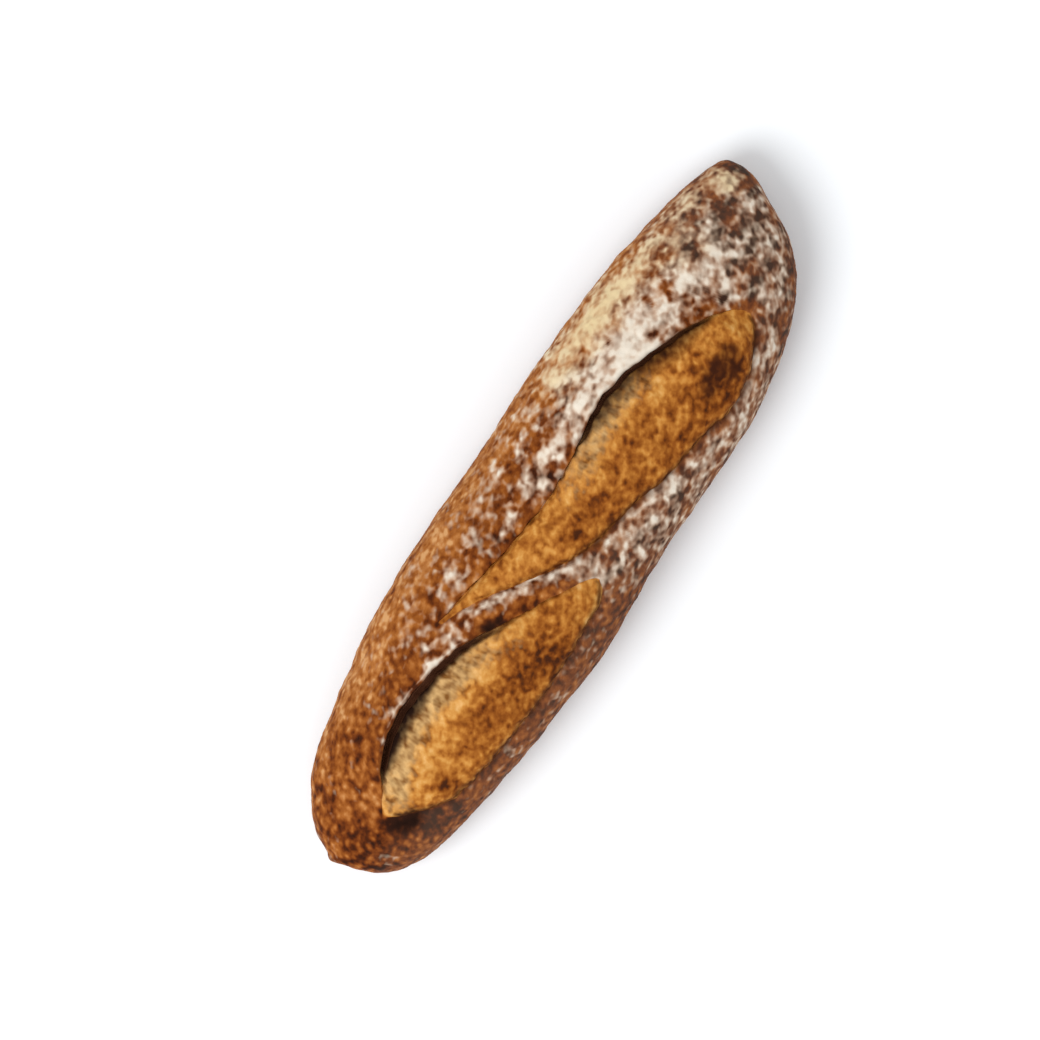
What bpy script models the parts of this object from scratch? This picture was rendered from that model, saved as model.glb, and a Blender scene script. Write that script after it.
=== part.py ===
"""Demi baguette: one short, hand-slashed loaf lying on its flat base.

The loaf is a loft along X. Every station is one closed section: a flat
underside, two flanks and a domed crust. Two slanting cuts opened the crust in
the oven. Along each cut the section turns back under a lifted ear, drops into
the pocket below it and climbs out again over the bloom, the newer and paler
crust, which swells up to a seam on the far side.

Metres, +Z up. X runs along the loaf, and the ears stand on the +Y side of
their cuts. The origin is the middle of the flat base. Places seen from above
are pairs of shares: u of the half length along X, v of the half width along Y.
"""

from math import pi, radians

import bmesh
import bpy
import numpy as np
from mathutils import Vector, noise

# Driving dimensions of the loaf
LENGTH = 0.250
WIDTH = 0.067
CRUST_HEIGHT = 0.0430  # of the plain dome, before blooms and ears rise above it
TIP_HEIGHT = 0.0150  # of both pointed ends above the table
HALF_LENGTH = LENGTH / 2
HALF_WIDTH = WIDTH / 2

# Outline seen from above: (u, half width, middle line), the last two as shares v
PLAN = [
    (-1.000, 0.000, 0.090),
    (-0.992, 0.078, 0.069),
    (-0.984, 0.155, 0.024),
    (-0.960, 0.346, 0.000),
    (-0.920, 0.504, -0.006),
    (-0.800, 0.722, 0.021),
    (-0.640, 0.845, 0.024),
    (-0.400, 0.958, 0.036),
    (-0.200, 0.994, 0.003),
    (0.120, 0.958, 0.003),
    (0.400, 0.967, -0.024),
    (0.560, 0.934, -0.027),
    (0.720, 0.827, 0.003),
    (0.840, 0.675, 0.057),
    (0.920, 0.490, 0.164),
    (0.968, 0.278, 0.301),
    (0.992, 0.161, 0.352),
    (1.000, 0.000, 0.364),
]

# Shape of a section: a power of 2 is an ellipse, and more is boxier
WAIST_SHARE = 0.42  # height of the widest line, as a share of the section's
DOME_POWER = 2.15
BASE_POWER = 2.8
TOP_TAPER = 2.6  # how late the top falls away towards the ends
FLAT_SHARE = 0.55  # of the length over which the loaf lies flat on the table
BASE_TAPER = 3.0  # how late the underside curves up beyond that, towards the tips
BASE_SINK = 0.0012  # cut off the underside's curve, which leaves the flat base

# The two cuts. ear and seam are their edges, and stand is the stretch of u where
# the ear stands clear: where it starts, is full, begins to close and ends.
LONG_CUT = {
    "ear": [
        (-0.360, 0.463),
        (-0.240, 0.400),
        (-0.096, 0.296),
        (0.080, 0.239),
        (0.200, 0.269),
        (0.304, 0.304),
        (0.400, 0.257),
        (0.480, 0.155),
        (0.560, 0.039),
        (0.640, -0.125),
        (0.680, -0.269),
        (0.700, -0.403),
    ],
    "seam": [
        (-0.360, 0.457),
        (-0.280, 0.307),
        (-0.120, -0.104),
        (-0.040, -0.284),
        (0.064, -0.418),
        (0.160, -0.499),
        (0.264, -0.621),
        (0.360, -0.669),
        (0.496, -0.767),
        (0.600, -0.690),
        (0.672, -0.552),
        (0.700, -0.409),
    ],
    "stand": (0.14, 0.29, 0.50, 0.66),
    "lift": 0.0026,
    "bulge": 0.0022,
    "rest": (radians(48), radians(104)),
}
SHORT_CUT = {
    "ear": [
        (-0.832, -0.060),
        (-0.784, 0.051),
        (-0.744, 0.155),
        (-0.680, 0.251),
        (-0.600, 0.316),
        (-0.496, 0.287),
        (-0.400, 0.209),
        (-0.336, 0.107),
        (-0.200, -0.179),
        (-0.072, -0.448),
        (-0.048, -0.531),
    ],
    "seam": [
        (-0.832, -0.072),
        (-0.800, -0.239),
        (-0.744, -0.448),
        (-0.688, -0.567),
        (-0.576, -0.657),
        (-0.240, -0.746),
        (-0.120, -0.728),
        (-0.072, -0.657),
        (-0.048, -0.537),
    ],
    "stand": (-0.81, -0.69, -0.45, -0.24),
    "lift": 0.0030,
    "bulge": 0.0020,
    "rest": (radians(86), radians(152)),
}
CUTS = (LONG_CUT, SHORT_CUT)

# Depths and widths shared by both cuts
CLOSED_LIFT = 0.25  # share of an ear's lift that is left where the cut is closed
EAR_REACH = 0.0085  # how far back from its edge an ear lifts the crust
DIP_REACH = 0.0026  # how fast the bloom rolls up out of the pocket
SHOULDER = 0.0022  # how fast it rises from the seam
SEAM_DEPTH = 0.0009
SEAM_WIDTH = 0.0012
CUT_FADE = 0.010  # length over which a cut's relief dies away at its tips

# The way from an ear's edge round the pocket to the bloom, one row a column:
# (towards the ear's root, above the plain crust, share of the lift)
POCKET_PATH = [
    (0.0000, 0.0000, 1.0),
    (0.0002, -0.0014, 1.0),
    (0.0015, -0.0022, 0.3),
    (0.0008, -0.0046, 0.0),
    (-0.0007, -0.0030, 0.0),
    (-0.0015, -0.0009, 0.0),
]

# The bridge of crust between the cuts is heaped up into a narrow ridge
RIDGE_START = (-0.37, 0.36)
RIDGE_END = (-0.03, -0.45)
RIDGE_HEIGHT = 0.0016
RIDGE_WIDTH = 0.0045

# Scorched hollow off the end of the short cut
HOLLOW_PLACE = (-0.80, -0.37)
HOLLOW_LENGTH = 0.0070
HOLLOW_WIDTH = 0.0042
HOLLOW_DEPTH = 0.0020
HOLLOW_TURN = radians(-40)

RELIEF_EDGE = 0.4  # sine of the angle above the widest line where relief is full
LUMPS = [(0.022, 0.0009), (0.0075, 0.00045)]  # (size, height) of the uneven crust

# Fineness of the loft
STATIONS = 101
END_SHARE = 0.14  # of the stations' run at each end, where they draw together
COLUMNS = {
    "underside": 6,
    "flank": 9,
    "pocket": len(POCKET_PATH) - 1,
    "bloom": 8,
    "bridge": 4,
    "far_flank": 5,
}
POCKET_STRIP = 0.0014  # width of plain crust that a closed pocket's columns cover
LEAST_BAND = radians(3)  # of the columns between a cut's edges, at its tips
REST_BAND = radians(20)  # and beyond them, where the crust is whole
BAND_SWING = 0.32  # stretch of u over which those columns swing to rest

CRUST_COLOUR = (0.42, 0.20, 0.07)
CRUST_ROUGHNESS = 0.72


def curve_through(points, u):
    """Value at u of a smooth curve through (u, value) points."""
    at, value = np.array(points).T
    run, slope = np.diff(at), np.diff(value) / np.diff(at)
    tangent = np.concatenate([slope[:1], np.zeros(len(slope) - 1), slope[-1:]])
    before, after = slope[:-1], slope[1:]
    steady = before * after > 0
    tangent[1:-1][steady] = (2 * before * after)[steady] / (before + after)[steady]
    i = np.clip(np.searchsorted(at, u, side="right") - 1, 0, len(run) - 1)
    t = np.clip((u - at[i]) / run[i], 0, 1)
    bend = tangent[i] * (t**3 - 2 * t**2 + t) + tangent[i + 1] * (t**3 - t**2)
    return value[i] + (value[i + 1] - value[i]) * t**2 * (3 - 2 * t) + run[i] * bend


def smooth_step(low, high, x):
    """0 up to low, 1 from high on, and smooth between them."""
    t = np.clip((x - low) / (high - low), 0, 1)
    return t * t * (3 - 2 * t)


def stretch(ends, u):
    """A smooth bump: it rises over the first two ends and falls over the last two."""
    return smooth_step(ends[0], ends[1], u) * (1 - smooth_step(ends[2], ends[3], u))


def station_places():
    """u of each station, evenly spaced and drawing together at both ends."""
    t = np.linspace(-1, 1, STATIONS)
    past = np.clip(np.abs(t) - (1 - END_SHARE), 0, None)
    reached = np.abs(t) - past**2 / (2 * END_SHARE)
    return np.sign(t) * reached / reached[0]


def outline(u):
    """Half width, middle line, top, underside and widest line's height at u."""
    width_squared = curve_through([(at, v * v) for at, v, _ in PLAN], u)
    half = HALF_WIDTH * np.sqrt(width_squared)
    middle = HALF_WIDTH * curve_through([(at, v) for at, _, v in PLAN], u)
    rise = CRUST_HEIGHT - TIP_HEIGHT
    top = TIP_HEIGHT + rise * np.sqrt(1 - abs(u) ** TOP_TAPER)
    past_flat = np.clip((abs(u) - FLAT_SHARE) / (1 - FLAT_SHARE), 0, 1)
    under = TIP_HEIGHT * (1 - np.sqrt(1 - past_flat**BASE_TAPER))
    return half, middle, top, under, under + WAIST_SHARE * (top - under)


def angle_at(y, half, middle):
    """Angle round the dome, from 0 at the +Y flank to pi at the other, of a y."""
    across = np.clip((y - middle) / half, -0.98, 0.98)
    return np.arccos(np.sign(across) * np.abs(across) ** (DOME_POWER / 2))


def plain_section(angle, shape):
    """y, z and the outward normal of the uncut crust at these angles."""
    half, middle, top, under, waist = shape
    domed = np.sin(angle) >= 0
    rise = np.where(domed, top - waist, waist - under + BASE_SINK)
    power = np.where(domed, DOME_POWER, BASE_POWER)
    across = np.sign(np.cos(angle)) * np.abs(np.cos(angle)) ** (2 / power)
    up = np.sign(np.sin(angle)) * np.abs(np.sin(angle)) ** (2 / power)
    normal_y = np.sign(across) * np.abs(across) ** (power - 1) / half
    normal_z = np.sign(up) * np.abs(up) ** (power - 1) / rise
    size = np.hypot(normal_y, normal_z)
    z = np.maximum(waist + rise * up, under)
    return middle + half * across, z, normal_y / size, normal_z / size


def band_angles(cut, u, half, middle):
    """Angles of the columns at the ear's edge, the pocket's far side and the seam."""
    first, last = cut["ear"][0][0], cut["ear"][-1][0]
    at_ear = angle_at(HALF_WIDTH * curve_through(cut["ear"], u), half, middle)
    at_seam = angle_at(HALF_WIDTH * curve_through(cut["seam"], u), half, middle)
    before = smooth_step(0, BAND_SWING, first - u)
    after = smooth_step(0, BAND_SWING, u - last)
    inside = 1 - before - after
    start = at_ear * inside + cut["rest"][0] * before + cut["rest"][1] * after
    width = max(at_seam - at_ear, 0) * inside + REST_BAND * (1 - inside)
    width = np.hypot(width, LEAST_BAND)
    pocket = min(POCKET_STRIP / half, width / 4)
    return start, start + pocket, start + width


def section_angles(u, half, middle):
    """Angles of a station's columns, and each cut's columns at its ear and seam."""
    long_band = band_angles(LONG_CUT, u, half, middle)
    short_band = band_angles(SHORT_CUT, u, half, middle)
    marks = [-pi / 2, 0, *long_band, *short_band, pi, 3 * pi / 2]
    groups = ["underside", "flank", "pocket", "bloom", "bridge"]
    groups += ["pocket", "bloom", "far_flank", "underside"]
    angles, starts = [], []
    for group, low, high in zip(groups, marks, marks[1:]):
        starts.append(len(angles))
        angles += list(np.linspace(low, high, COLUMNS[group], endpoint=False))
    return np.array(angles), (starts[2], starts[4]), (starts[5], starts[7])


def cut_relief(cut, u, y, ear, seam):
    """Height that a cut adds to the plain crust across one station."""
    x = u * HALF_LENGTH
    first, last = (cut["ear"][end][0] * HALF_LENGTH for end in (0, -1))
    ends = smooth_step(0, CUT_FADE, x - first) * smooth_step(0, CUT_FADE, last - x)
    stand = stretch(cut["stand"], u)
    lift = cut["lift"] * (CLOSED_LIFT + (1 - CLOSED_LIFT) * stand)
    behind = np.clip(y - ear, 0, None)
    from_ear, from_seam = np.clip(ear - y, 0, None), np.clip(y - seam, 0, None)
    lifted = lift * np.exp(-((behind / EAR_REACH) ** 1.5))
    swell = (1 - np.exp(-from_ear / DIP_REACH)) * (1 - np.exp(-from_seam / SHOULDER))
    swell = np.where(y > seam, cut["bulge"] * swell, 0)
    crease = SEAM_DEPTH * np.exp(-(((y - seam) / SEAM_WIDTH) ** 2))
    closed_crease = SEAM_DEPTH * (1 - stand) * np.exp(-((from_ear / SEAM_WIDTH) ** 2))
    return ends * (np.where(y >= ear, lifted, swell - closed_crease) - crease)


def pocket_relief(cut, u, closed_height, across):
    """Height of the pocket's columns, and how far they slide under the ear."""
    stand = stretch(cut["stand"], u)
    root, above, lifted = np.array(POCKET_PATH).T
    height = (1 - stand) * closed_height + stand * (above + lifted * cut["lift"])
    return height, stand * (root + across)


def ridge_relief(u, y):
    """Height of the heaped ridge between the cuts."""
    (u0, v0), (u1, v1) = RIDGE_START, RIDGE_END
    along = np.clip((u - u0) / (u1 - u0), 0, 1)
    off = (y - HALF_WIDTH * (v0 + (v1 - v0) * along)) / RIDGE_WIDTH
    return RIDGE_HEIGHT * np.sin(pi * along) * np.exp(-(off**2))


def hollow_relief(u, y):
    """Depth of the scorched hollow, below the plain crust."""
    dx = (u - HOLLOW_PLACE[0]) * HALF_LENGTH
    dy = y - HOLLOW_PLACE[1] * HALF_WIDTH
    along = dx * np.cos(HOLLOW_TURN) + dy * np.sin(HOLLOW_TURN)
    across = dy * np.cos(HOLLOW_TURN) - dx * np.sin(HOLLOW_TURN)
    off = (along / HOLLOW_LENGTH) ** 2 + (across / HOLLOW_WIDTH) ** 2
    return -HOLLOW_DEPTH * np.exp(-off)


def lumps(x, y, z):
    """Height of the uneven crust's lumps at one place."""
    place = Vector((x, y, z))
    return sum(height * noise.noise(place / size) for size, height in LUMPS)


def section(u):
    """The closed ring of points at a station, from the middle of the underside."""
    half, middle, _, under, _ = shape = outline(u)
    x = u * HALF_LENGTH
    angles, *cut_columns = section_angles(u, half, middle)
    y, z, normal_y, normal_z = plain_section(angles, shape)
    relief = ridge_relief(u, y) + hollow_relief(u, y)
    for cut, (ear, seam) in zip(CUTS, cut_columns):
        relief += cut_relief(cut, u, y, y[ear], y[seam])
    slide = np.zeros(len(angles))
    for cut, (ear, _) in zip(CUTS, cut_columns):
        rows = slice(ear, ear + len(POCKET_PATH))
        relief[rows], slide[rows] = pocket_relief(cut, u, relief[rows], y[ear] - y[rows])
    relief *= smooth_step(0, RELIEF_EDGE, np.sin(angles))
    relief += [lumps(x, *place) for place in zip(y, z)]
    ring_y = y + relief * normal_y + slide * normal_z
    ring_z = np.maximum(z + relief * normal_z - slide * normal_y, under)
    ring_z[z == under] = under
    return np.stack([np.full(len(y), x), ring_y, ring_z], 1)


def loft(rings, tips):
    """A closed mesh through rings of equally many points, fanned to two tips."""
    mesh = bmesh.new()
    rows = [[mesh.verts.new(point) for point in ring] for ring in rings]
    first, last = (mesh.verts.new(tip) for tip in tips)
    pairs = [(i, (i + 1) % len(rows[0])) for i in range(len(rows[0]))]
    for row, following in zip(rows, rows[1:]):
        for i, j in pairs:
            mesh.faces.new((row[i], row[j], following[j], following[i]))
    for i, j in pairs:
        mesh.faces.new((rows[0][j], rows[0][i], first))
        mesh.faces.new((rows[-1][i], rows[-1][j], last))
    bmesh.ops.recalc_face_normals(mesh, faces=mesh.faces[:])
    bmesh.ops.triangulate(mesh, faces=mesh.faces[:], quad_method="SHORT_EDGE")
    return mesh


def crust_material():
    material = bpy.data.materials.new("baked_crust")
    material.use_nodes = True
    shader = material.node_tree.nodes["Principled BSDF"]
    shader.inputs["Base Color"].default_value = (*CRUST_COLOUR, 1)
    shader.inputs["Roughness"].default_value = CRUST_ROUGHNESS
    shader.inputs["Metallic"].default_value = 0
    return material


def make_loaf(collection):
    rings = [section(u) for u in station_places()[1:-1]]
    tips = [
        (u * HALF_LENGTH, v * HALF_WIDTH, TIP_HEIGHT) for u, _, v in (PLAN[0], PLAN[-1])
    ]
    shape = loft(rings, tips)
    mesh = bpy.data.meshes.new("baguette")
    shape.to_mesh(mesh)
    shape.free()
    mesh.shade_smooth()
    mesh.set_sharp_from_angle(angle=radians(50))
    mesh.materials.append(crust_material())
    collection.objects.link(bpy.data.objects.new("baguette", mesh))


def main():
    for leftover in list(bpy.data.objects):
        bpy.data.objects.remove(leftover)
    parts = bpy.data.collections.new("demi_baguette")
    bpy.context.scene.collection.children.link(parts)
    make_loaf(parts)


main()
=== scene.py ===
"""Looks of the demi baguette: a crisp, floured crust with two torn blooms.

The loaf is remade from the same sections as its solid, with fine stations and
columns, then roughened all over: blisters on the crust, a torn surface on the
blooms, ragged lips on the ears. What each spot of the crust is, such as bloom,
pocket, flour or scorch, is kept on the mesh as named attributes, and the
material mixes its colours from them. Shade in the pockets, seams and pores,
and light on the upper +Y flank, are painted into those colours.

Sizes are millimetres times MM, which comes from the frame. Places seen from
above are pairs of shares: u of the half length along X, v of the half width
along Y, as on the solid.
"""

from math import pi, radians

import bpy
import numpy as np
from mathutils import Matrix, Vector, noise


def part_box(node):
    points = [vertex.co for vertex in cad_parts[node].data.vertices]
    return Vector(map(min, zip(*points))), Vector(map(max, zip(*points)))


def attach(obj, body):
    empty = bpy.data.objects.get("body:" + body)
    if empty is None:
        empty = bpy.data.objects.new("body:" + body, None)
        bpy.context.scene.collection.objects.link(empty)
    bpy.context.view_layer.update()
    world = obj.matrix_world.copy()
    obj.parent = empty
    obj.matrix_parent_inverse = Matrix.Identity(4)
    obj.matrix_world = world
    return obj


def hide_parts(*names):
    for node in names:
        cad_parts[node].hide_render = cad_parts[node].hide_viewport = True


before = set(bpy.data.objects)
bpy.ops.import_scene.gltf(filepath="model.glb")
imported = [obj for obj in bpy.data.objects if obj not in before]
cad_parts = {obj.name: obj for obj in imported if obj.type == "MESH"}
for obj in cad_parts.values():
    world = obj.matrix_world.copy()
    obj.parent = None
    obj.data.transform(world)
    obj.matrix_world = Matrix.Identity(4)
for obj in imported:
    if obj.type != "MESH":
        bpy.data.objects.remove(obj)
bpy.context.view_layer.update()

NODE = "baguette"
LOAF_LENGTH = 250  # mm
LOWEST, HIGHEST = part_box(NODE)
MM = (HIGHEST.x - LOWEST.x) / LOAF_LENGTH

# The loaf's own sizes, as on its solid
HALF_LENGTH = LOAF_LENGTH / 2 * MM
HALF_WIDTH = 33.5 * MM
CRUST_HEIGHT = 43 * MM  # of the plain dome, before blooms and ears rise above it
TIP_HEIGHT = 15 * MM  # of both pointed ends above the table

# Outline seen from above: (u, half width, middle line), the last two as shares v
PLAN = [
    (-1.000, 0.000, 0.090),
    (-0.992, 0.078, 0.069),
    (-0.984, 0.155, 0.024),
    (-0.960, 0.346, 0.000),
    (-0.920, 0.504, -0.006),
    (-0.800, 0.722, 0.021),
    (-0.640, 0.845, 0.024),
    (-0.400, 0.958, 0.036),
    (-0.200, 0.994, 0.003),
    (0.120, 0.958, 0.003),
    (0.400, 0.967, -0.024),
    (0.560, 0.934, -0.027),
    (0.720, 0.827, 0.003),
    (0.840, 0.675, 0.057),
    (0.920, 0.490, 0.164),
    (0.968, 0.278, 0.301),
    (0.992, 0.161, 0.352),
    (1.000, 0.000, 0.364),
]

# Shape of a section: a power of 2 is an ellipse, and more is boxier
WAIST_SHARE = 0.42  # height of the widest line, as a share of the section's
DOME_POWER = 2.15
BASE_POWER = 2.8
TOP_TAPER = 2.6  # how late the top falls away towards the ends
FLAT_SHARE = 0.55  # of the length over which the loaf lies flat on the table
BASE_TAPER = 3.0  # how late the underside curves up beyond that, towards the tips
BASE_SINK = 1.2 * MM  # cut off the underside's curve, which leaves the flat base
WIDEST = 0.98  # share of the half width that an edge's angle is looked up within

# The two cuts. ear and seam are their edges, and stand is the stretch of u where
# the ear stands clear: where it starts, is full, begins to close and ends.
LONG_CUT = {
    "ear": [
        (-0.360, 0.463),
        (-0.240, 0.400),
        (-0.096, 0.296),
        (0.080, 0.239),
        (0.200, 0.269),
        (0.304, 0.304),
        (0.400, 0.257),
        (0.480, 0.155),
        (0.560, 0.039),
        (0.640, -0.125),
        (0.680, -0.269),
        (0.700, -0.403),
    ],
    "seam": [
        (-0.360, 0.457),
        (-0.280, 0.307),
        (-0.120, -0.104),
        (-0.040, -0.284),
        (0.064, -0.418),
        (0.160, -0.499),
        (0.264, -0.621),
        (0.360, -0.669),
        (0.496, -0.767),
        (0.600, -0.690),
        (0.672, -0.552),
        (0.700, -0.409),
    ],
    "rest": (radians(48), radians(104)),  # where its columns lie past its two tips
    "stand": (0.17, 0.30, 0.46, 0.66),
    "lift": 2.6 * MM,  # of the ear above the plain crust
    "bulge": 2.2 * MM,  # of the bloom, likewise
    "mouth": 0.9 * MM,  # width of the open pocket beside the ear
    "depth": 0.84,  # how dark the painted shade on the bloom beside the pocket gets
    "fall": 1.2,  # how late that painted shade fades away from the pocket
    "dark": [  # at each u, how many mm of the bloom the painted shade reaches from the pocket
        (0.13, 0.0),
        (0.19, 1.8),
        (0.24, 3.6),
        (0.29, 7.2),
        (0.36, 7.2),
        (0.42, 6.8),
        (0.48, 8.2),
        (0.54, 7.2),
        (0.60, 3.8),
        (0.67, 0.0),
    ],
    "seam_from": (-0.34, 0.06),  # in u: where its seam starts to darken and is dark
    "seam_shade": (0.5, 1.9),  # mm inside the seam where its painted shade is darkest, and the reach
    "pale": (0.0, 0.22, 0.38, 0.47),  # as stand: where the torn surface stayed pale
    "pale_most": 0.75,  # how pale
    "pale_fade": (5, 11),  # mm from the ear over which the pale strip ends
    "bake": (-0.02, 0.24),  # of the bloom beside the ear, and what the seam's side adds
    "bake_from": (8, 19),  # mm from the ear over which that comes in
    "lip_flour": 0.5,  # more flour on the ear's edge
}
SHORT_CUT = {
    "ear": [
        (-0.832, -0.060),
        (-0.784, 0.051),
        (-0.744, 0.155),
        (-0.680, 0.251),
        (-0.600, 0.316),
        (-0.496, 0.287),
        (-0.400, 0.209),
        (-0.336, 0.107),
        (-0.200, -0.179),
        (-0.072, -0.448),
        (-0.048, -0.531),
    ],
    "seam": [
        (-0.832, -0.072),
        (-0.800, -0.239),
        (-0.744, -0.448),
        (-0.688, -0.567),
        (-0.576, -0.657),
        (-0.240, -0.746),
        (-0.120, -0.728),
        (-0.072, -0.657),
        (-0.048, -0.537),
    ],
    "rest": (radians(86), radians(152)),
    "stand": (-0.78, -0.68, -0.45, -0.24),
    "lift": 3.0 * MM,
    "bulge": 2.0 * MM,
    "mouth": 1.5 * MM,
    "depth": 1.0,
    "fall": 2.4,
    "dark": [
        (-0.78, 0.0),
        (-0.72, 3.6),
        (-0.67, 5.8),
        (-0.55, 6.4),
        (-0.48, 3.9),
        (-0.40, 3.4),
        (-0.29, 2.2),
        (-0.24, 1.2),
        (-0.15, 0.0),
    ],
    "seam_from": (-0.83, -0.80),
    "seam_shade": (1.1, 1.8),
    "pale": (-0.84, -0.74, -0.46, -0.22),
    "pale_most": 1.0,
    "pale_fade": (7, 13),
    "bake": (-0.22, 0.42),
    "bake_from": (11, 24),
    "lip_flour": 0.95,
}
CUTS = (LONG_CUT, SHORT_CUT)

# Depths and widths shared by both cuts
CLOSED_LIFT = 0.25  # share of an ear's lift that is left where the cut is closed
EAR_REACH = 8.5 * MM  # how far back from its edge an ear lifts the crust
EAR_POWER = 1.5  # how square the lifted ear's back is
EAR_OVERHANG = 0.7 * MM  # how far an ear leans out over its pocket
DIP_REACH = 2.6 * MM  # how fast the bloom rolls up out of the pocket
SHOULDER = 2.2 * MM  # how fast it rises from the seam
SEAM_DEPTH = 0.9 * MM
SEAM_WIDTH = 1.2 * MM
CUT_FADE = 10 * MM  # length over which a cut's relief dies away at its tips

# The way from an ear's edge round the pocket to the bloom:
# (share of the way, mm towards the ear's root, mm above the crust, share of the lift)
POCKET_PATH = [
    (0.0, 0.0, 0.0, 1.0),
    (0.2, 0.2, -1.4, 1.0),
    (0.4, 1.5, -2.2, 0.3),
    (0.6, 0.8, -4.6, 0.0),
    (0.8, -0.7, -3.0, 0.0),
    (1.0, -1.5, -0.9, 0.0),
]

# The bridge of crust between the cuts is heaped up into a narrow ridge
RIDGE_START, RIDGE_END = (-0.37, 0.36), (-0.03, -0.45)
RIDGE_HEIGHT, RIDGE_WIDTH = 1.6 * MM, 4.5 * MM

# Scorched hollow off the end of the short cut
HOLLOW_PLACE = (-0.80, -0.37)
HOLLOW_LENGTH, HOLLOW_WIDTH, HOLLOW_DEPTH = 7.0 * MM, 4.2 * MM, 2.0 * MM
HOLLOW_TURN = radians(-40)

RELIEF_EDGE = 0.4  # sine of the angle above the widest line where relief is full
LUMPS = [(22 * MM, 0.9 * MM), (7.5 * MM, 0.45 * MM)]  # (size, height) of the uneven crust

# Fineness of the loft
STATIONS = 400
END_SHARE = 0.10  # of the stations' run at each end, where they draw together
RAGS = [(5.0 * MM, 0.5 * MM), (2.4 * MM, 0.25 * MM)]  # (size, reach) of ragged edges
LEAST_BAND = radians(3)  # of the columns between a cut's edges, at its tips
REST_BAND = radians(20)  # and beyond them, where the crust is whole
BAND_SWING = 0.32  # stretch of u over which those columns swing to rest
MOUTH_MOST = 0.25  # share of the band that the pocket's columns may take
# Groups of columns round a section: (count, lean, pull). Lean crowds the columns
# towards the group's end, and pull towards both its ends.
GROUPS = [
    (14, 0.0, 0.0),  # half the underside
    (56, 0.45, 0.0),  # the +Y flank, up to the long cut's ear
    (18, 0.0, 0.0),  # its pocket
    (32, 0.0, 0.6),  # its bloom
    (16, 0.2, 0.3),  # the bridge
    (18, 0.0, 0.0),  # the short cut's pocket
    (30, 0.0, 0.6),  # its bloom
    (32, -0.2, 0.0),  # the other flank
    (14, 0.0, 0.0),  # the rest of the underside
]
STARTS = np.cumsum([0] + [count for count, _, _ in GROUPS])
POCKETS = (2, 5)  # the groups of the two pockets

# Soft-edged spots, in mm: (x, across, half length, half width, turn in degrees,
# amount). Across is y, carried on down the flanks below the widest line.
FLOUR_DRIFTS = [
    (58, 13, 26, 12, -8, 0.98),
    (28, 13, 18, 6, 0, 0.66),
    (8, 13, 15, 6, 0, 0.58),
    (-22, 19, 26, 8, 0, 0.36),
    (-55, 16, 18, 12, 0, 0.26),
    (90, 9, 14, 9, -30, 0.44),
    (100, 4, 24, 18, -10, 0.62),
    (86, -2, 8, 8, -45, 0.48),
    (115, 4, 7, 8, 0, 0.42),
    (100, -14, 20, 7, 28, 0.58),
    (18, -24, 26, 9, -6, 0.74),
    (62, -29, 30, 8, 4, 0.60),
    (-22, -0.5, 22, 4, -37, 0.38),
    (-4, -17, 9, 6, -30, 0.54),
    (-46, 9, 9, 4, -15, 0.42),
    (-45, -26, 50, 5, -4, 0.38),
    (-110, -13, 9, 6, -50, 0.26),
    (15, 26, 26, 7, 0, 0.42),
    (-36, 30, 7, 5, -30, 0.32),
]
CREAM_DRIFTS = [  # where the flour is cream instead of white
    (60, 25, 27, 7, -4, 0.96),
    (38, 25, 10, 6, 0, 0.45),
    (88, 20, 16, 6, -10, 0.68),
    (119, 13.5, 5.5, 6, 20, 0.70),
    (110, 19.5, 14, 5, -20, 0.66),
    (92, 12, 8, 5, -30, 0.40),
]
FLOUR_CLUMPS = [
    (-44, 25.5, 3.2, 1.8, 15, 0.5),
    (-28, 21.5, 3.0, 2.4, 10, 0.6),
    (-27, 16.5, 2.2, 1.3, 0, 0.5),
    (-20, 20, 2.4, 1.0, 0, 0.4),
    (-15, 22, 1.4, 1.1, 0, 0.4),
    (-10, 13, 2.2, 1.3, 0, 0.5),
    (-6, 12.6, 3.2, 1.8, 20, 0.5),
    (-2, 17, 1.5, 1.6, 0, 0.6),
    (-59, 22, 1.5, 1.4, 0, 0.4),
    (-51, 12.6, 2.0, 1.4, -20, 0.4),
    (-39.5, 7.5, 1.6, 2.0, 0, 0.5),
    (-30, 4.6, 8.0, 1.4, -34, 0.6),
    (-20, -2.0, 6.0, 1.3, -34, 0.6),
    (-10, -8.2, 5.0, 1.3, -33, 0.6),
    (8, -16.2, 6.0, 1.2, -12, 0.45),
    (20, -18.8, 7.0, 1.3, -16, 0.5),
    (32, -22.6, 6.0, 1.2, -14, 0.35),
    (70, -26.4, 6.0, 1.2, 18, 0.45),
    (-74.5, 12.4, 1.4, 1.2, 0, 0.5),
    (9, 11, 2.4, 2.2, -30, 0.5),
    (16, 15, 2.2, 2.0, 0, 0.4),
    (22, 21.5, 2.0, 1.6, 0, 0.4),
    (23, 13.5, 2.4, 1.8, 0, 0.4),
    (36.5, 13.5, 3.4, 1.4, 0, 0.4),
    (37, 25, 2.2, 3.0, 0, 0.4),
    (97, 6, 2.2, 3.4, 0, 0.5),
    (101, -2, 3.2, 1.6, 0, 0.5),
    (116, 4, 2.2, 1.6, 40, 0.5),
    (40, -23, 4.0, 1.6, 0, 0.5),
    (29, -23, 2.2, 1.8, 0, 0.4),
    (9, -19, 5.0, 1.6, -10, 0.4),
    (-66, -26, 1.2, 1.6, 0, 0.4),
    (-84, -21, 1.8, 1.0, 0, 0.4),
    (-94, -19, 1.2, 1.4, 0, 0.3),
]
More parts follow.
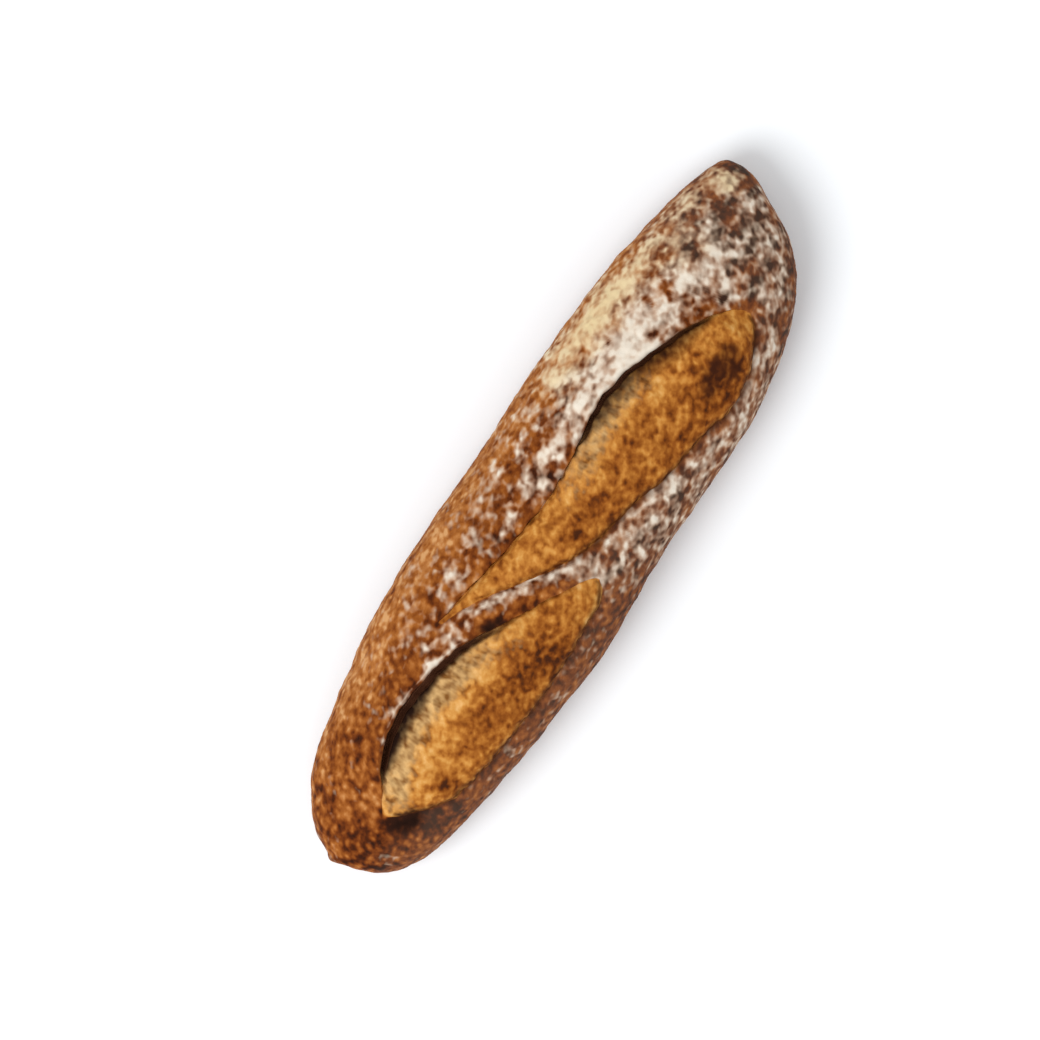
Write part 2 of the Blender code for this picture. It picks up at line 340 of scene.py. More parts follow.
BARE_SPOTS = [  # where flour has fallen off
    (29, 17.8, 3.4, 1.3, 0, 0.5),
    (37, 16.8, 3.2, 1.2, -5, 0.5),
    (12, 18, 1.8, 2.2, 0, 0.3),
    (15, 11, 1.6, 2.4, 20, 0.4),
    (2, 14, 3.0, 1.6, 0, 0.3),
    (65.5, 6.5, 1.7, 1.3, 0, 0.35),
    (73, 15, 1.8, 1.6, 0, 0.35),
    (72, 11, 1.2, 1.0, 0, 0.3),
    (80, 11.5, 2.4, 1.6, 0, 0.4),
    (56.5, 16.5, 1.2, 1.2, 0, 0.3),
    (42, 13, 2.2, 1.4, 0, 0.25),
    (77, 9, 1.2, 1.8, 0, 0.3),
    (82, 17, 2.2, 2.0, 0, 0.3),
    (88, 16, 3.2, 1.8, -50, 0.35),
    (116, 16, 7.0, 4.5, 0, 0.26),
    (95, 17, 2.2, 2.0, 0, 0.35),
    (84, 2.5, 1.8, 1.2, -30, 0.3),
    (-37, -1, 3.4, 3.0, -30, 0.6),
    (-23, -5, 5.0, 1.6, -35, 0.5),
    (-14, -11.5, 6.0, 1.6, -36, 0.4),
    (-30, 22, 12.0, 2.0, 10, 0.18),
    (-1, -18, 2.6, 2.2, 0, 0.5),
    (5, -23.5, 3.4, 1.5, 40, 0.4),
    (14, -25, 2.4, 2.2, 0, 0.4),
    (17, -20.5, 3.4, 1.3, -20, 0.3),
    (27, -28, 2.0, 1.2, 0, 0.3),
]
SCORCHES = [  # darker patches of the crust, with less flour
    (92.5, 12.8, 3.4, 1.4, -25, 0.40),
    (95.5, 10.8, 2.8, 1.3, -45, 0.40),
    (93, 8.5, 1.6, 1.9, 0, 0.45),
    (102, 15, 3.0, 3.4, -20, 0.30),
    (101, 3, 2.8, 2.0, 0, 0.35),
    (106, 3.2, 2.8, 2.0, -20, 0.40),
    (109.5, 0, 2.6, 2.8, 0, 0.40),
    (109, 8.2, 3.4, 1.8, 0, 0.35),
    (112.5, 9.5, 2.0, 3.4, 0, 0.35),
    (119, 5, 1.8, 3.2, -30, 0.35),
    (86, -4.5, 2.2, 2.0, 0, 0.35),
    (96, -2, 2.8, 2.8, 0, 0.35),
    (104, -4.5, 2.8, 3.0, 0, 0.35),
    (96, -12, 4.0, 3.4, 0, 0.40),
    (103, -10.5, 4.6, 1.6, 20, 0.30),
    (99, -20, 6.0, 2.0, 22, 0.35),
    (107, -17, 3.4, 1.7, 35, 0.30),
    (86, -27, 4.0, 1.7, 12, 0.30),
    (75, -30, 3.8, 1.6, 5, 0.25),
    (35.5, -24, 1.6, 2.6, 0, 0.35),
    (-101, -9.5, 6.0, 3.8, -42, 0.66),
    (-104, -8, 13.0, 9.0, -35, 0.32),
    (-94, -17, 11.0, 5.5, -33, 0.52),
    (-98, -12.5, 5.5, 2.6, -58, 0.32),
    (-92, 17, 14, 6, 20, 0.10),
    (20, -25, 26, 6, -4, 0.16),
    (107, 4, 10, 9, 0, 0.16),
    (-115, -3, 9.0, 13.0, -10, 0.32),
    (-90, 7.4, 6.0, 1.8, 28, 0.30),
    (-68, 15, 6.0, 3.0, 0, 0.25),
    (-88, 13, 8.0, 4.0, 10, 0.12),
    (-35, 0, 3.8, 2.6, -25, 0.75),
    (-24, -6, 8.0, 1.8, -28, 0.35),
    (-16, 16.5, 5.0, 3.0, 20, 0.20),
    (8, 23, 4.0, 2.4, 30, 0.25),
    # the dark edge at the very right tip
    (123.8, 12.5, 1.6, 4.6, 0, 0.6),
    # these two dark strips low on the -Y side are partly painted shade of the side away from
    # the key light, partly darker crust
    (-55, -25, 46, 4.5, -4, 0.22),
    (-15, -30, 22, 5, 0, 0.12),
]
GOLDEN_SPOTS = [  # less baked patches of the crust
    (-103.5, 1.5, 5.5, 2.8, 35, 0.40),
    (-74, 23, 9.0, 4.0, 5, 0.20),
    (-100, 19.5, 5.0, 3.0, 30, 0.18),
    (-112, 11, 5.0, 4.0, 40, 0.10),
    (-60, 14, 5.0, 2.6, 0, 0.14),
]
BLOOM_SCORCHES = [  # darker patches of the blooms
    (66, -15, 10.0, 7.0, -8, 0.36),
    (1, -5, 6.0, 3.2, -20, 0.22),
    (-10, 4.5, 4.0, 3.0, 0, 0.16),
    (-12, 1, 16, 5, -30, 0.08),
    (8, -4.0, 12, 3.2, -8, 0.34),
    (24, -15, 4.0, 1.8, 0, 0.18),
    (30, -4, 8.0, 2.0, -10, 0.08),
    (24, -5, 6.0, 3.0, 0, 0.12),
    (42, -17, 6.0, 2.0, 0, 0.14),
    (60, 1.6, 10.0, 4.4, -22, 0.15),
    (-84, -12.5, 5.0, 3.6, 0, 0.22),
    (-54, -13, 14.0, 4.6, 0, 0.17),
    (-36, -14, 13.0, 8.0, -30, 0.60),
    (-96, -9, 5.0, 3.5, -40, 0.25),
    (-22, -14, 12.0, 5.0, -35, 0.34),
    (-58, -9, 9, 4, 0, 0.22),
    (-89, -9, 3.0, 1.4, -20, 0.18),
    (-25, -18, 12.0, 3.0, 0, 0.14),
    (-60, -9, 2.6, 2.0, 0, 0.12),
]
DARK_SPOTS = [  # nearly black painted shade: in the short pocket's far end, and in the scorched hollow
    (-36, 0.2, 4.2, 2.4, -28, 0.95),
    (-101, -10.4, 6.0, 4.0, -38, 0.95),
]
BURNT_SPOTS = [  # the burnt patch of the long bloom
    (68, -15.5, 8.0, 5.8, -8, 0.90),
    (61, -14.5, 5.0, 3.6, 0, 0.60),
]
PORES = [  # small dark spots on the blooms, painted shade of small holes; a full amount stands up by PORE_HEIGHT
    (50, 0.2, 1.1, 1.8, -20, 0.7),
    (-93, 0.3, 1.3, 1.7, 0, 0.5),
    (-66.5, 2.5, 0.8, 1.2, -30, 0.4),
    (62.5, -1.5, 0.8, 1.4, 20, 0.4),
    (-57, 4.8, 1.0, 0.7, 0, 0.3),
]
SPOT_POWER = 1.5  # how square a spot is: 1 is a bell
WARP, WARP_SIZE = 2.4, 4.5 * MM  # how far, in mm, the spots' edges stray
SEED_SHIFT = (7.31, 3.17, 5.71)  # what parts one noise from the next, in lumps
TINY = 1e-12  # stands in for a length of 0 before it divides

# How the marks of a cut begin, fade and end, in mm unless said
CUT_TIPS = (0.015, 0.012)  # in u, from its first and its last tip
EAR_EDGE, SEAM_EDGE = (-0.2, 0.5), (-0.3, 0.4)  # from either edge to the full bloom
DARK_CORE = 0.3  # share of the reach of the painted shade beside the pocket that is darkest
FULL_DARK = 3.4  # reach from which on that dark is full
LEAST_REACH = 0.01  # where there is no dark
LIP_DARK, LIP_DARK_REACH = 0.72, 0.6  # painted shade on the ear's brink, next to the pocket
LIP_PLACE = 0.9  # behind the ear's edge, where its flour lies thickest
WALL_EDGE = (0.04, 0.3)  # share of the pocket's columns over which its wall begins
CREASE_DARK, CREASE_REACH = 0.2, 0.9  # of the painted shade in the crease where a cut is closed
SEAM_DARK = 0.84  # how dark the painted shade along the seam is where it is darkest

# Flour and bake over the whole loaf, painted light on its +Y flank and a grey veil. Ranges
# are mm along X or across it.
FLOUR_LEAST, FLOUR_MOST = -0.26, 1.32  # on bare crust, and what a full drift adds
FLOURED_BAKE = 0.22  # how much more baked the crust is under white flour
RIGHT_BAKE, RIGHT_END = 0.10, (78, 92)  # and towards the floured end
LIT_FLANK, LIT_FLANK_FROM = 0.36, (18, 27)  # painted light: the upper +Y flank, which faces the key light, made paler
LIT_FLANK_LOW, LIT_FLANK_LOW_FROM = 0.30, (30, 40)  # what is taken back of that painted light low on the flank
VEIL_MOST = 0.11  # of the grey veil mixed over the loaf's -Y side and its right end
VEIL_SIDE, VEIL_END = (4, 20), (78, 98)

# The fine surface: heights in mm, and the sizes of what stands up
BLISTER_HEIGHT, BLISTER_SIZE = 0.22, 3.6 * MM
GRAIN_HEIGHT, GRAIN_SIZE = 0.14, 1.9 * MM
TEAR_HEIGHT = 0.45
TEAR_LEAST = 0.4  # share of the height where the bloom isn't pale
TEAR_LENGTHS = (1.5, 6.0)  # mm along the loaf and away from the ear
LUMP_HEIGHT, LUMP_SIZE = 0.35, 5.0 * MM
BLOOM_GRAIN, BLOOM_GRAIN_SIZE = 0.18, 2.2 * MM
PORE_HEIGHT = 0.8
CALM, CALM_IN = 0.7, (0.4, 0.9)  # share of the height lost in the dark pockets
BASE_CALM = 3  # mm above the flat base over which the fine surface comes in


def colour(red, green, blue):
    """Linear colour, with alpha, of an sRGB colour from 0 to 255."""
    share = np.array([red, green, blue]) / 255
    linear = np.where(share <= 0.04045, share / 12.92, ((share + 0.055) / 1.055) ** 2.4)
    return (*linear.tolist(), 1.0)


CRUST_TONES = [
    (0.00, colour(196, 146, 96)),
    (0.20, colour(170, 110, 58)),
    (0.38, colour(149, 87, 36)),
    (0.54, colour(126, 67, 23)),
    (0.70, colour(101, 48, 15)),
    (0.84, colour(72, 32, 11)),
    (1.00, colour(43, 20, 11)),
]
BLOOM_TONES = [
    (0.00, colour(214, 166, 104)),
    (0.20, colour(198, 142, 72)),
    (0.36, colour(182, 120, 52)),
    (0.52, colour(158, 96, 36)),
    (0.68, colour(134, 74, 24)),
    (0.84, colour(104, 52, 15)),
    (1.00, colour(66, 33, 16)),
]
PALE_CREAM = colour(196, 160, 108)
PALE_STREAK = colour(104, 66, 30)
FLOUR_WHITE = colour(224, 215, 200)
FLOUR_CREAM = colour(218, 196, 150)
FLOUR_THIN = colour(183, 149, 117)
# browns of the painted shade in the seams, pores and pockets; SEAM_BROWN also colours the
# burned patch
SEAM_BROWN = colour(54, 25, 13)
DARK_POCKET = colour(30, 15, 9)
POCKET_WALL = colour(104, 64, 44)
VEIL_GREY = colour(150, 127, 109)
FLOOR_COLOUR = (0.89, 0.915, 0.94, 1.0)

# The crust's fine patterns. Specks are drawn out along one line, and the patterns
# that are moved apart don't follow the others.
SPECK_TURN = radians(-35)
SPECK_STRETCH = (0.85, 1, 1)
APART = (1.3, 0.7, 2.1)
PATTERNS = {  # name: (moved apart, size in mm, detail, roughness, distortion)
    "broad": (False, 5.0, 1, 0.5, 0.0),
    "mottle": (False, 2.2, 0.6, 0.5, 0.3),
    "speck": (True, 1.5, 0.4, 0.5, 0.2),
    "fine": (True, 0.6, 0, 0.55, 0.0),
    "drifts": (False, 7.0, 0, 0.55, 0.0),
    "clumps": (False, 2.7, 0.5, 0.5, 0.4),
    "crumbs": (True, 1.8, 0.3, 0.5, 0.2),
}
BLOB_SIZE = 2.2  # mm
CELL_MIDDLE = 0.45  # what centres the blobs' values on 0
STREAK_SIZE, STREAK_DRAWN = 1.7, 0.5  # mm, and how drawn out away from the ear
MIX_INPUTS, MIX_OUTPUT = (0, 6, 7), 2  # of a colour mix: share, both colours; result
BUMP_HEIGHT = 0.28 * MM
MATTE = 0.03  # specular level of dry crust
FLOOR_ROUGHNESS = 0.9

# The camera looks straight down from far off, as the photo's does
CAMERA_SENSOR = 36.0
OUTLINE_HEIGHT = 18 * MM  # of the line that the loaf's outline is seen by
CAMERA_HEIGHT = 1500 * MM  # above that line
FRAMED_WIDTH = 321.8 * MM
CAMERA_OVER = (-4.4 * MM, 10.8 * MM)
CAMERA_TURN = radians(-57.36)

# Floor and light, in metres
FLOOR_REACH = 3.0
KEY_PLACE = (-1.0, 0.32, 1.5)
KEY_SIZE = 1.1
KEY_POWER = 21.5
WORLD_STRENGTH = 0.8


# ---------------------------------------------------------------- small maths


def curve_through(points, u):
    """Value at u of a smooth curve through (u, value) points."""
    at, value = np.array(points).T
    run, slope = np.diff(at), np.diff(value) / np.diff(at)
    tangent = np.concatenate([slope[:1], np.zeros(len(slope) - 1), slope[-1:]])
    before, after = slope[:-1], slope[1:]
    steady = before * after > 0
    tangent[1:-1][steady] = (2 * before * after)[steady] / (before + after)[steady]
    i = np.clip(np.searchsorted(at, u, side="right") - 1, 0, len(run) - 1)
    t = np.clip((u - at[i]) / run[i], 0, 1)
    bend = tangent[i] * (t**3 - 2 * t**2 + t) + tangent[i + 1] * (t**3 - t**2)
    return value[i] + (value[i + 1] - value[i]) * t**2 * (3 - 2 * t) + run[i] * bend


def smooth_step(low, high, x):
    """0 up to low, 1 from high on, and smooth between them."""
    t = np.clip((x - low) / (high - low), 0, 1)
    return t * t * (3 - 2 * t)


def stretch(ends, u):
    """A smooth bump: it rises over the first two ends and falls over the last two."""
    return smooth_step(ends[0], ends[1], u) * (1 - smooth_step(ends[2], ends[3], u))


def noise_at(points, size, seed=0):
    """Smooth noise from -1 to 1, with lumps of this size, at each point."""
    shift = Vector(SEED_SHIFT) * seed
    places = (np.asarray(points) / size).reshape(-1, 3).tolist()
    values = [noise.noise(Vector(place) + shift) for place in places]
    return np.array(values).reshape(np.shape(points)[:-1])


def spots(x, y, places):
    """Cover from 0 to 1 by soft-edged ellipses, one for each of the places."""
    left_bare = np.ones_like(x)
    for at_x, at_y, half_length, half_width, turn, amount in places:
        cosine, sine = np.cos(radians(turn)), np.sin(radians(turn))
        along = ((x - at_x) * cosine + (y - at_y) * sine) / half_length
        across = ((y - at_y) * cosine - (x - at_x) * sine) / half_width
        left_bare *= 1 - amount * np.exp(-((along**2 + across**2) ** SPOT_POWER))
    return 1 - left_bare


# ------------------------------------------------------------ the loaf's form


def station_places():
    """u of each station, evenly spaced and drawing together at both ends."""
    t = np.linspace(-1, 1, STATIONS)
    past = np.clip(np.abs(t) - (1 - END_SHARE), 0, None)
    reached = np.abs(t) - past**2 / (2 * END_SHARE)
    return np.sign(t) * reached / reached[0]


def outline(u):
    """Half width, middle line, top, underside and widest line's height at u."""
    half = HALF_WIDTH * np.sqrt(curve_through([(at, v * v) for at, v, _ in PLAN], u))
    middle = HALF_WIDTH * curve_through([(at, v) for at, _, v in PLAN], u)
    rise = CRUST_HEIGHT - TIP_HEIGHT
    top = TIP_HEIGHT + rise * np.sqrt(1 - abs(u) ** TOP_TAPER)
    past_flat = np.clip((abs(u) - FLAT_SHARE) / (1 - FLAT_SHARE), 0, 1)
    under = TIP_HEIGHT * (1 - np.sqrt(1 - past_flat**BASE_TAPER))
    return half, middle, top, under, under + WAIST_SHARE * (top - under)


def angle_at(y, half, middle):
    """Angle round the dome, from 0 at the +Y flank to pi at the other, of a y."""
    across = np.clip((y - middle) / half, -WIDEST, WIDEST)
    return np.arccos(np.sign(across) * np.abs(across) ** (DOME_POWER / 2))


def plain_section(angle, shape):
    """y, z and the outward normal of the uncut crust at these angles."""
    half, middle, top, under, waist = shape
    domed = np.sin(angle) >= 0
    rise = np.where(domed, top - waist, waist - under + BASE_SINK)
    power = np.where(domed, DOME_POWER, BASE_POWER)
    across = np.sign(np.cos(angle)) * np.abs(np.cos(angle)) ** (2 / power)
    up = np.sign(np.sin(angle)) * np.abs(np.sin(angle)) ** (2 / power)
    normal_y = np.sign(across) * np.abs(across) ** (power - 1) / half
    normal_z = np.sign(up) * np.abs(up) ** (power - 1) / rise
    size = np.hypot(normal_y, normal_z)
    z = np.maximum(waist + rise * up, under)
    return middle + half * across, z, normal_y / size, normal_z / size


def ragged(u, seed):
    """How far an edge strays across the loaf at u."""
    x = u * HALF_LENGTH
    return sum(reach * noise_at([(x, 0, 0)], size, seed)[0] for size, reach in RAGS)


def band_angles(cut, u, half, middle):
    """Angles of the columns at the ear's edge, the pocket's far side and the seam."""
    first, last = cut["ear"][0][0], cut["ear"][-1][0]
    ear_y = HALF_WIDTH * curve_through(cut["ear"], u) + ragged(u, first) - EAR_OVERHANG
    seam_y = HALF_WIDTH * curve_through(cut["seam"], u) + ragged(u, last)
    at_ear = angle_at(ear_y, half, middle)
    at_seam = angle_at(seam_y, half, middle)
    before = smooth_step(0, BAND_SWING, first - u)
    after = smooth_step(0, BAND_SWING, u - last)
    inside = 1 - before - after
    start = at_ear * inside + cut["rest"][0] * before + cut["rest"][1] * after
    width = max(at_seam - at_ear, 0) * inside + REST_BAND * (1 - inside)
    width = np.hypot(width, LEAST_BAND)
    pocket = min(cut["mouth"] / half, width * MOUTH_MOST)
    return start, start + pocket, start + width


def section_angles(u, half, middle):
    """Angles of a station's columns."""
    long_band = band_angles(LONG_CUT, u, half, middle)
    short_band = band_angles(SHORT_CUT, u, half, middle)
    borders = [-pi / 2, 0, *long_band, *short_band, pi, 3 * pi / 2]
    angles = []
    for (count, lean, pull), low, high in zip(GROUPS, borders, borders[1:]):
        t = np.arange(count) / count
        t = t + lean * t * (1 - t) - pull * np.sin(2 * pi * t) / (2 * pi)
        angles.append(low + (high - low) * t)
    return np.concatenate(angles)


def cut_relief(cut, u, y, ear, seam):
    """Height that a cut adds to the plain crust across one station."""
    x = u * HALF_LENGTH
    first, last = (cut["ear"][end][0] * HALF_LENGTH for end in (0, -1))
    ends = smooth_step(0, CUT_FADE, x - first) * smooth_step(0, CUT_FADE, last - x)
    stand = stretch(cut["stand"], u)
    lift = cut["lift"] * (CLOSED_LIFT + (1 - CLOSED_LIFT) * stand)
    behind = np.clip(y - ear, 0, None)
    from_ear, from_seam = np.clip(ear - y, 0, None), np.clip(y - seam, 0, None)
    lifted = lift * np.exp(-((behind / EAR_REACH) ** EAR_POWER))
    swell = (1 - np.exp(-from_ear / DIP_REACH)) * (1 - np.exp(-from_seam / SHOULDER))
    swell = np.where(y > seam, cut["bulge"] * swell, 0)
    crease = SEAM_DEPTH * np.exp(-(((y - seam) / SEAM_WIDTH) ** 2))
    closed_crease = SEAM_DEPTH * (1 - stand) * np.exp(-((from_ear / SEAM_WIDTH) ** 2))
    return ends * (np.where(y >= ear, lifted, swell - closed_crease) - crease)


def pocket_relief(cut, u, closed_height, across):
    """Height of the pocket's columns, and how far they slide under the ear."""
    stand = stretch(cut["stand"], u)
    share = np.linspace(0, 1, len(closed_height))
    at, *way = np.array(POCKET_PATH).T
    root, above, lifted = (curve_through(list(zip(at, row)), share) for row in way)
    height = (1 - stand) * closed_height + stand * (above * MM + lifted * cut["lift"])
    return height, stand * (root * MM + across)


def ridge_relief(u, y):
    """Height of the heaped ridge between the cuts."""
    (u0, v0), (u1, v1) = RIDGE_START, RIDGE_END
    along = np.clip((u - u0) / (u1 - u0), 0, 1)
    off = (y - HALF_WIDTH * (v0 + (v1 - v0) * along)) / RIDGE_WIDTH
    return RIDGE_HEIGHT * np.sin(pi * along) * np.exp(-(off**2))


def hollow_relief(u, y):
    """Depth of the scorched hollow, below the plain crust."""
    dx = (u - HOLLOW_PLACE[0]) * HALF_LENGTH
    dy = y - HOLLOW_PLACE[1] * HALF_WIDTH
    along = dx * np.cos(HOLLOW_TURN) + dy * np.sin(HOLLOW_TURN)
    across = dy * np.cos(HOLLOW_TURN) - dx * np.sin(HOLLOW_TURN)
    off = (along / HOLLOW_LENGTH) ** 2 + (across / HOLLOW_WIDTH) ** 2
    return -HOLLOW_DEPTH * np.exp(-off)


def lumps(points):
    """Height of the uneven crust's lumps, the same as on the solid."""
    return sum(height * noise_at(points, size) for size, height in LUMPS)


def unrolled(y, z, shape):
    """Distance across the loaf from its middle line, carried on down the flanks."""
    half, middle, _, _, waist = shape
    side = np.sign(y - middle)
    below = np.clip(waist - z, 0, None)
    return y + side * (below + 2 * (half - np.abs(y - middle)) * (below > 0))


def section(u):
    """A station's points, the plain crust's y and the distance across at each."""
    half, middle, _, under, _ = shape = outline(u)
    x = u * HALF_LENGTH
    angles = section_angles(u, half, middle)
    y, z, normal_y, normal_z = plain_section(angles, shape)
    relief = ridge_relief(u, y) + hollow_relief(u, y)
    pockets = []
    for cut, group in zip(CUTS, POCKETS):
        ear, rim, seam = STARTS[group : group + 3]
        relief += cut_relief(cut, u, y, y[ear], y[seam])
        pockets.append((cut, slice(ear, rim + 1), y[ear]))
    slide = np.zeros(len(angles))
    for cut, rows, ear_y in pockets:
        relief[rows], slide[rows] = pocket_relief(cut, u, relief[rows], ear_y - y[rows])
    relief *= smooth_step(0, RELIEF_EDGE, np.sin(angles))
    relief += lumps(np.stack([np.full(len(y), x), y, z], 1))
    ring_y = y + relief * normal_y + slide * normal_z
    ring_z = np.maximum(z + relief * normal_z - slide * normal_y, under)
    ring_z[z == under] = under
    ring = np.stack([np.full(len(y), x), ring_y, ring_z], 1)
    return ring, y, unrolled(y, z, shape), z - under


# -------------------------------------------------- what each spot of crust is


class Ground:
    """Where each vertex of the loft lies, in mm, as grids of stations by columns."""

    def __init__(self):
        self.u = station_places()[1:-1]
        grids = [np.array(rows) for rows in zip(*[section(u) for u in self.u])]
        self.points, self.plain_y, self.across, self.off_base = grids
        self.u = np.repeat(self.u[:, None], self.across.shape[1], 1)
        self.x = self.points[..., 0] / MM
        self.across = self.across / MM
        self.off_base = self.off_base / MM

    def cut_distances(self, group):
        """mm from the ear's edge towards the seam, and from the seam back."""
        ear, seam = (self.plain_y[:, STARTS[at]][:, None] for at in (group, group + 2))
        return (ear - self.plain_y) / MM, (self.plain_y - seam) / MM

    def pocket_share(self, group):
        """0 to 1 from the ear's edge through the pocket's columns, and 0 elsewhere."""
        share = np.zeros_like(self.x)
        ear, rim = STARTS[group : group + 2]
        share[:, ear : rim + 1] = np.linspace(0, 1, rim + 1 - ear)
        return share


def cut_marks(ground, cut, group):
    """Shares by which a cut marks the crust, and mm from its ear."""
    u = ground.u
    from_ear, from_seam = ground.cut_distances(group)
    behind = np.clip(-from_ear, 0, None)
    stand = stretch(cut["stand"], u)
    first, last = cut["ear"][0][0], cut["ear"][-1][0]
    at_first, at_last = CUT_TIPS
    ends = smooth_step(0, at_first, u - first) * smooth_step(0, at_last, last - u)
    bloom = smooth_step(*EAR_EDGE, from_ear) * smooth_step(*SEAM_EDGE, from_seam) * ends
    share = ground.pocket_share(group)
    wall = smooth_step(*WALL_EDGE, share) * (share > 0) * stand
    lip = stand * np.exp(-np.abs(behind - LIP_PLACE)) * (from_ear <= 0)
    pale = bloom * stretch(cut["pale"], u) * cut["pale_most"]
    beside_ear, towards_seam = cut["bake"]
    return {
        "bloom": bloom,
        "shade": pocket_shade(cut, u, from_ear, behind),
        "seam": seam_shade(cut, u, from_ear, from_seam, stand) * ends,
        "wall": wall,
        "pale": pale * (1 - smooth_step(*cut["pale_fade"], from_ear)),
        "bake": towards_seam * smooth_step(*cut["bake_from"], from_ear) + beside_ear,
        "lip": cut["lip_flour"] * lip,
        "from_ear": from_ear,
    }


def pocket_shade(cut, u, from_ear, behind):
    """Painted shade on the bloom beside the pocket, and on the brink of the ear above it."""
    reach = curve_through(cut["dark"], u)
    rest = (1 - DARK_CORE) * reach + LEAST_REACH
    way = np.clip((from_ear - DARK_CORE * reach) / rest, 0, 1)
    brink = LIP_DARK * np.exp(-behind / LIP_DARK_REACH)
    shade = np.where(from_ear > 0, 1 - way ** cut["fall"], brink)
    return shade * (cut["depth"] * smooth_step(0, FULL_DARK, reach))


def seam_shade(cut, u, from_ear, from_seam, stand):
    """Painted shade along the seam, and in the crease where the cut is closed."""
    crease = CREASE_DARK * (1 - stand) * np.exp(-((from_ear / CREASE_REACH) ** 2))
    darkest, reach = cut["seam_shade"]
    seam_line_shade = SEAM_DARK * np.exp(-(((from_seam - darkest) / reach) ** 2))
    return np.maximum(crease, seam_line_shade * smooth_step(*cut["seam_from"], u))


def crust_bake(x, across, drifts, cream, scorch):
    """How baked the crust is, from its flour, scorches and right end, with painted light on
    the upper +Y flank.
    """
    bake = scorch + FLOURED_BAKE * drifts * (1 - cream)
    bake += RIGHT_BAKE * smooth_step(*RIGHT_END, x)
    # painted light on the upper +Y flank, which faces the key light
    lit_flank = LIT_FLANK * smooth_step(*LIT_FLANK_FROM, across)
    bake -= lit_flank - LIT_FLANK_LOW * smooth_step(*LIT_FLANK_LOW_FROM, across)
    return bake - spots(x, across, GOLDEN_SPOTS)


def marks(ground):
    """The shares that the crust's colours are mixed from, and the pores' share."""
    x = ground.x + WARP * noise_at(ground.points, WARP_SIZE, 11)
    across = ground.across + WARP * noise_at(ground.points, WARP_SIZE, 12)
    long_cut, short_cut = (cut_marks(ground, *each) for each in zip(CUTS, POCKETS))
    shared = ("bloom", "shade", "wall", "seam")
    both = {name: np.maximum(long_cut[name], short_cut[name]) for name in shared}
    in_short = short_cut["bloom"] > long_cut["bloom"]
    bloom_bake = np.where(in_short, short_cut["bake"], long_cut["bake"])
    bloom_bake = spots(x, across, BLOOM_SCORCHES) + bloom_bake
    bloom = both["bloom"]

    drifts, cream = spots(x, across, FLOUR_DRIFTS), spots(x, across, CREAM_DRIFTS)
    scorch = spots(x, across, SCORCHES)
    flour = FLOUR_LEAST + FLOUR_MOST * np.maximum(drifts, cream)
    flour += spots(x, across, FLOUR_CLUMPS) + short_cut["lip"] + long_cut["lip"]
    flour -= spots(x, across, BARE_SPOTS)
    bake = crust_bake(x, across, drifts, cream, scorch)
    veil = np.maximum(smooth_step(*VEIL_SIDE, -across), smooth_step(*VEIL_END, x))
    pores, shade_and_burn = spots(x, across, PORES), spots(x, across, BURNT_SPOTS)
    shares = {
        "bloom": bloom,
        "flour": flour - scorch,
        "cream": cream,
        "veil": VEIL_MOST * veil,
        "bake": bake * (1 - bloom) + bloom_bake * bloom,
        "pale": long_cut["pale"] + short_cut["pale"],
        "shade": np.maximum(both["shade"], spots(x, across, DARK_SPOTS)),
        "wall": both["wall"],
        # seam: painted shade along the seams and in the pores, and the burned patch of the
        # long bloom
        "seam": np.maximum(both["seam"], bloom * np.maximum(pores, shade_and_burn)),
        "run": ground.x,
        "from_ear": np.where(in_short, short_cut["from_ear"], long_cut["from_ear"]),
    }
    return shares, pores * bloom


# ----------------------------------------------------------- the fine surface


def normals_of(points):
    """Inward normals of the grid, from its neighbouring points."""
    along = np.gradient(points, axis=0)
    around = np.roll(points, -1, 1) - np.roll(points, 1, 1)
    normal = np.cross(along, around)
    size = np.linalg.norm(normal, axis=-1, keepdims=True)
    return normal / np.maximum(size, TINY)


def roughened(ground, mark, pores):
    """The loft's points, moved along the inward normals: a height below 0 stands out."""
    points = ground.points
    blisters = -np.abs(noise_at(points, BLISTER_SIZE, 1))
    crust = BLISTER_HEIGHT * blisters + GRAIN_HEIGHT * noise_at(points, GRAIN_SIZE, 2)
    length, reach = TEAR_LENGTHS
    torn_at = np.stack([mark["run"] / length, mark["from_ear"] / reach, 0 * ground.x], -1)
    torn = noise_at(torn_at, 1, 3) * TEAR_HEIGHT
    torn = torn * (TEAR_LEAST + (1 - TEAR_LEAST) * mark["pale"])
    patches = LUMP_HEIGHT * noise_at(points, LUMP_SIZE, 4)
    fine = BLOOM_GRAIN * noise_at(points, BLOOM_GRAIN_SIZE, 5)
    bloom = torn + patches + fine - PORE_HEIGHT * pores
    height = crust * (1 - mark["bloom"]) + bloom * mark["bloom"]
    height *= 1 - CALM * smooth_step(*CALM_IN, mark["shade"])
    height *= smooth_step(0, BASE_CALM, ground.off_base)
    return points + (height * MM)[..., None] * normals_of(points)


